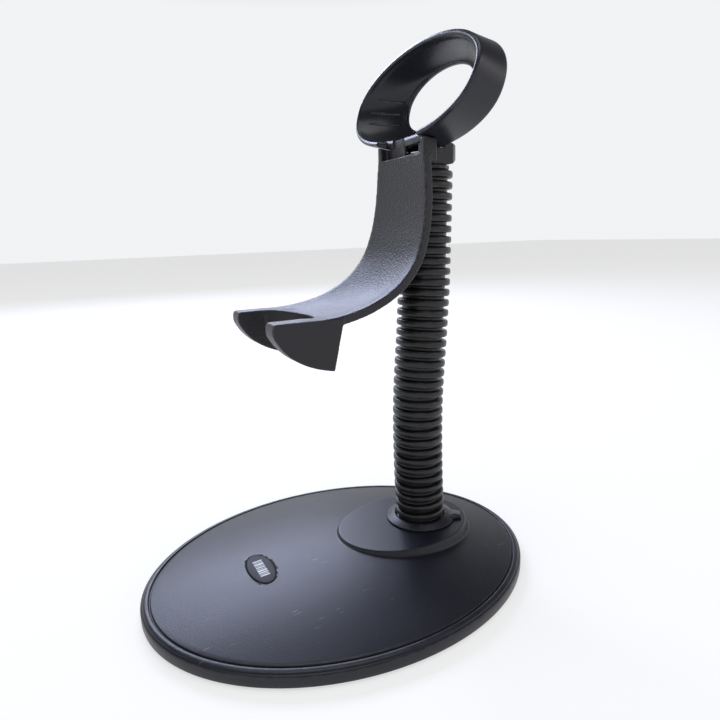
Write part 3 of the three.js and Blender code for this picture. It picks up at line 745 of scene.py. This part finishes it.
def hoop_point(x, v, w):
    """From the hoop's own frame, leaned back by its tilt, to the stand's."""
    tilt = math.radians(HOOP["tilt"])
    c, s = math.cos(tilt), math.sin(tilt)
    return np.array([x, NECK_Y + HOOP["y"] + s * v + c * w, HOOP["z"] + c * v - s * w])


def on_oval(shape, angle, inset=0.0):
    """The point of an oval at an angle: round above its middle, squarer below it."""
    half, up, down, middle = shape - np.array([inset, inset, inset, 0])
    c, s = math.cos(angle), math.sin(angle)
    power = 2 / HOOP["square"] if s < 0 else 1
    return np.array([math.copysign(abs(c) ** power * half, c),
                     middle + math.copysign(abs(s) ** power, s) * (down if s < 0 else up)])


def hoop_bar(grow, count=128):
    """The hoop as a solid block, a little larger all round, to clear the cradle for it."""
    loops = []
    for w, shape in ((-grow, FRONT_OVAL), (HOOP["depth"] + grow, BACK_OVAL)):
        loops.append([hoop_point(*on_oval(shape, a, -grow), w) for a in circle(count)])
    return loft(loops)


def head_block():
    """The block at the neck's top, with its two rear corners taken off."""
    half, back, chamfer = BLOCK["half"], NECK_Y + BLOCK["back"], BLOCK["chamfer"]
    front = NECK_Y + HEAD["front"] + BLOCK["lap"]
    plan = [(-half, front), (half, front), (half, back - chamfer), (half - chamfer, back)]
    plan += [(chamfer - half, back), (-half, back - chamfer)]
    return prism(plan, 2, BLOCK["bottom"], BLOCK["top"])


def head_walls():
    """The recess's side walls, each block off the last by a hair, so that no two faces lie in one plane."""
    front, web, web_back = (NECK_Y + HEAD[key] for key in ("front", "web", "web_back"))
    hair = 0.02
    for side in (1, -1):
        for inner, near in ((HEAD["pocket"], web), (HEAD["half"], front)):
            x0, x1 = sorted((side * inner, side * (HEAD["outer"] - hair)))
            yield block(x0, x1, near + hair, web_back + hair, BLOCK["bottom"] + hair, HEAD["top"] + hair)
            hair += 0.02


def head_cuts():
    """The recess, the bolt's pocket and hole, and the bevel under the block's rear edge."""
    floor, above = BLOCK["floor"], HEAD["top"] + 2
    front, web = NECK_Y + HEAD["front"], NECK_Y + HEAD["web"]
    pocket, back, low = HEAD["pocket"], NECK_Y + BLOCK["back"], BLOCK["bottom"]
    edge, high = back - BLOCK["chamfer"], low + BLOCK["bevel"]
    wedge = [(back + 1, low - 1), (edge, low - 1), (edge, low), (back, high), (back + 1, high)]
    bore = [oval(BOLT_HOLE["r"], BOLT_HOLE["r"], 0, HEAD_Y, BOLT_HOLE[end], 32) for end in ("low", "high")]
    return [
        block(-HEAD["half"], HEAD["half"], front - 1, web, floor, above),
        block(-pocket, pocket, web - 1, HEAD_Y, floor, above),
        loft([oval(pocket, pocket, 0, HEAD_Y, z, 64) for z in (floor, above)]),
        loft(bore),
        prism(wedge, 0, -BEYOND, BEYOND),
    ]


def cradle():
    shapes = [cradle_skin(), finger(1), finger(-1), skirt(), head_block(), *head_walls()]
    cuts = [prism(slot_outline(), 2, SLOT["low"], SLOT["high"]), *head_cuts(), hoop_bar(HOOP_CLEARANCE)]
    made = fused("cradle_body", shapes, cuts, "cradle_plastic", "head")
    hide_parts("cradle")
    near = NECK_Y + HOOK["y"]
    hook = block(HOOK["x"] - HOOK["half"], HOOK["x"] + HOOK["half"], near, near + HOOK["thick"],
                 BLOCK["floor"] - 1, HOOK["top"])
    tab = loose(*hook, "hoop_catch")
    modify(tab, "BEVEL", width=HOOK["round"] * MM, segments=3)
    dress(tab, "cradle_plastic", "head")


# ---- hoop ----
def funnel(angle, t):
    """The bowl between the rim and the hole: its point and depth, t from 0 at the rim to 1 at the hole."""
    mouth, hole = on_oval(FRONT_OVAL, angle, HOOP["wall"]), on_oval(HOLE_OVAL, angle)
    middle = mouth + (hole - mouth) * 0.55
    point = (1 - t) ** 2 * mouth + 2 * t * (1 - t) * middle + t * t * hole
    start, end = HOOP["wall"] / 2, HOOP["depth"] - HOOP["lip"]
    late = end - 1.5  # pulls the bowl deep before it turns to the hole
    return point, (1 - t) ** 2 * start + 2 * t * (1 - t) * late + t * t * end


def hoop_section(angle):
    """The hoop's cut outline at one place round its oval: rim, funnel, hole, back and outer wall."""
    depth, rim = HOOP["depth"], HOOP["wall"] / 2
    lip, curl, corner, plain = HOOP["lip"] / 2, 1.2, 1.0, 2.5

    def outer(w, inset=0.0):
        return on_oval(FRONT_OVAL + (BACK_OVAL - FRONT_OVAL) * w / depth, angle, inset)

    points = []
    for t in np.linspace(0, math.pi, 10):
        w = rim * (1 - math.sin(t))
        points.append((outer(w, rim - rim * math.cos(t)), w))
    points += [funnel(angle, t) for t in np.linspace(0, 1, 22)[1:-1]]
    for t in np.linspace(-math.pi / 2, math.pi / 2, 8):
        points.append((on_oval(HOLE_OVAL, angle, curl * math.cos(t) - curl), depth - lip + lip * math.sin(t)))
    points.append(((outer(depth, corner) + on_oval(HOLE_OVAL, angle)) / 2, depth))
    for t in np.linspace(math.pi / 2, 0, 6):
        w = depth - corner + corner * math.sin(t)
        points.append((outer(w, corner - corner * math.cos(t)), w))
    points += [(outer(w), w) for w in np.linspace(depth - plain, plain, 7)]
    return [hoop_point(*point, w) for point, w in points]


def rib_angle(side, v, t):
    """The angle round the funnel at which its wall stands at height v."""
    low, high = -math.pi / 2, math.pi / 2
    for _ in range(40):
        middle = (low + high) / 2
        if funnel(middle, t)[0][1] < v:
            low = middle
        else:
            high = middle
    return low if side > 0 else math.pi - low


def hoop_ribs():
    """Low ridges down the funnel's side walls, highest in the middle and fading at both ends."""
    start, end, height, root_in = 0.16, 0.8, 0.9, 0.8
    fade_from, fade_run, fullness = 0.12, 0.76, 0.4
    crest_half, root_half = 0.22, 0.5
    for side in (1, -1):
        for v in RIB_HEIGHTS:
            loops = []
            for t in np.linspace(start, end, 9):
                rise = height * math.sin(math.pi * (t - fade_from) / fade_run) ** fullness
                (x, _), w = funnel(rib_angle(side, v, t), t)
                crest, root = x - side * rise, x + side * root_in
                flat = [(crest, v - crest_half), (crest, v + crest_half)]
                flat += [(root, v + root_half), (root, v - root_half)]
                loops.append([hoop_point(a, b, w) for a, b in flat])
            yield loft(loops)


def hoop():
    loops = [hoop_section(a) for a in circle(260)]
    made = loose(*loft(loops, closed=True), "holding_hoop")
    for rib in hoop_ribs():
        cut(made, loose(*rib), "UNION")
    # Room for the head's front lip, for the catch, and for the bolt's dome.
    notch, front, web = HEAD["half"] + GAP, NECK_Y - LIP_REACH, NECK_Y + HEAD["web"] - GAP
    cut(made, loose(*block(-notch, notch, front, web, *LIP_ROOM)))
    near, far = NECK_Y + HOOK["y"] - HOOK["room"], NECK_Y + HOOK["y"] + HOOK["thick"] + GAP
    x0, x1 = HOOK["x"] - HOOK["half"] - GAP, HOOK["x"] + HOOK["half"] + GAP
    cut(made, loose(*block(x0, x1, near, far, CATCH_LOW, HOOK["top"] + GAP)))
    r = BOLT["r"] + 2 * GAP
    cut(made, loose(*loft([oval(r, r, 0, HEAD_Y, z, 64) for z in BOLT_ROOM])))
    dress(made, "hoop_plastic", "head")
    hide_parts("hoop")


# ---- fasteners ----
def bolt():
    """A cross-slotted screw with a low domed head."""
    low, high = node_box("neck_bolt")
    seat, edge, r, shank = high[2] - BOLT["rise"], BOLT["edge"], BOLT["r"], BOLT["shank"]
    arc = BOLT["rise"] - edge
    dome = [(r * math.cos(t), seat + edge + arc * math.sin(t)) for t in np.linspace(0.05, 1.5, 12)]
    outline = [(0.05, low[2]), (shank - 0.4, low[2]), (shank, low[2] + 0.5), (shank, seat)]
    outline += [(r - 0.2, seat), (r, seat + 0.2), *dome, (0.05, high[2])]
    made = loose(*turned(outline, 0, HEAD_Y, 96), "bolt_dome")
    for x, y in ((BOLT["slot"], BOLT["slot_half"]), (BOLT["slot_half"], BOLT["slot"])):
        cut(made, loose(*block(-x, x, HEAD_Y - y, HEAD_Y + y, seat + BOLT["slot_floor"], high[2] + 1.4)))
    dress(made, "zinc_steel", "head")
    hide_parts("neck_bolt")


def carried_nodes():
    """CAD nodes that keep their own shape get the procedural material of their slot."""
    slots = {part["node"]: part["material_slot"] for part in frame["record"]["subparts"]}
    for name, node in frame["nodes"].items():
        if not node.hide_render:
            node.data.materials.clear()
            node.data.materials.append(MATERIALS[slots[name]].material)


# ---- studio ----
FLOOR_HALF, FLOOR_GREY, FLOOR_GLOW = 6.0, 0.45, 0.62
# Sky brightness from the low height to the high one, as the upward part of the view direction.
SKY = {"From Min": 0.33, "From Max": 0.5, "To Min": 0.91, "To Max": 0.12}
SKY_TINT = (0.97, 0.98, 1.0)
# Each lamp: name, place and aim in metres, width, height, watts, tint.
LAMPS = [
    ("window", (-1.15, 0.12, 0.86), (0, 0, 0.05), 0.9, 0.42, 13.5, (0.68, 0.75, 1.0)),
    ("overhead", (0.1, -0.1, 1.9), (0, 0, 0), 1.6, 1.6, 14, (0.95, 0.97, 1.0)),
    ("side", (0.7, 0.9, 0.6), (0, 0.05, 0.15), 0.5, 0.4, 0.8, (1.0, 0.97, 0.93)),
]


def ground():
    """A pale floor that glows a little, so that it stays near white round the stand."""
    size = FLOOR_HALF
    corners = [(-size, -size, 0), (size, -size, 0), (size, size, 0), (-size, size, 0)]
    mesh = bpy.data.meshes.new("floor")
    mesh.from_pydata(corners, [], [(0, 1, 2, 3)])
    made = bpy.data.objects.new("floor", mesh)
    bpy.context.scene.collection.objects.link(made)
    n = Nodes("floor")
    n.shader.inputs["Base Color"].default_value = colour(FLOOR_GREY, FLOOR_GREY, FLOOR_GREY)
    n.shader.inputs["Roughness"].default_value = 0.95
    n.shader.inputs["Specular IOR Level"].default_value = 0.1
    n.shader.inputs["Emission Color"].default_value = colour(1.0, 1.0, 1.0)
    n.shader.inputs["Emission Strength"].default_value = FLOOR_GLOW
    mesh.materials.append(n.material)
    made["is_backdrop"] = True


def softbox(name, place, aim, width, height, power, tint):
    data = bpy.data.lights.new(name, "AREA")
    data.shape = "RECTANGLE"
    data.size, data.size_y = width, height
    data.energy = power
    data.color = tint
    lamp = bpy.data.objects.new(name, data)
    lamp.location = place
    lamp.rotation_euler = (Vector(aim) - Vector(place)).to_track_quat("-Z", "Y").to_euler()
    bpy.context.scene.collection.objects.link(lamp)


def sky():
    """Pale round the horizon and below it, darker overhead, so that dark plastic keeps its depth."""
    world = bpy.data.worlds.new("studio")
    world.use_nodes = True
    tree = world.node_tree
    place = tree.nodes.new("ShaderNodeTexCoord")
    split = tree.nodes.new("ShaderNodeSeparateXYZ")
    fade = tree.nodes.new("ShaderNodeMapRange")
    tree.links.new(place.outputs["Generated"], split.inputs["Vector"])
    tree.links.new(split.outputs["Z"], fade.inputs["Value"])
    for key, value in SKY.items():
        fade.inputs[key].default_value = value
    background = tree.nodes["Background"]
    background.inputs["Color"].default_value = colour(*SKY_TINT)
    tree.links.new(fade.outputs["Result"], background.inputs["Strength"])
    bpy.context.scene.world = world


def studio():
    bpy.context.scene.view_settings.view_transform = "Standard"
    sky()
    for lamp in LAMPS:
        softbox(*lamp)
    ground()


base_shell()
badge()
collar()
rubber_feet()
neck()
cradle()
hoop()
bolt()
carried_nodes()
studio()

shown_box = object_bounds()
boxes = {"cad": cad_box, "shown": shown_box}
{key: [list(map(float, corner)) for corner in box] for key, box in boxes.items()}
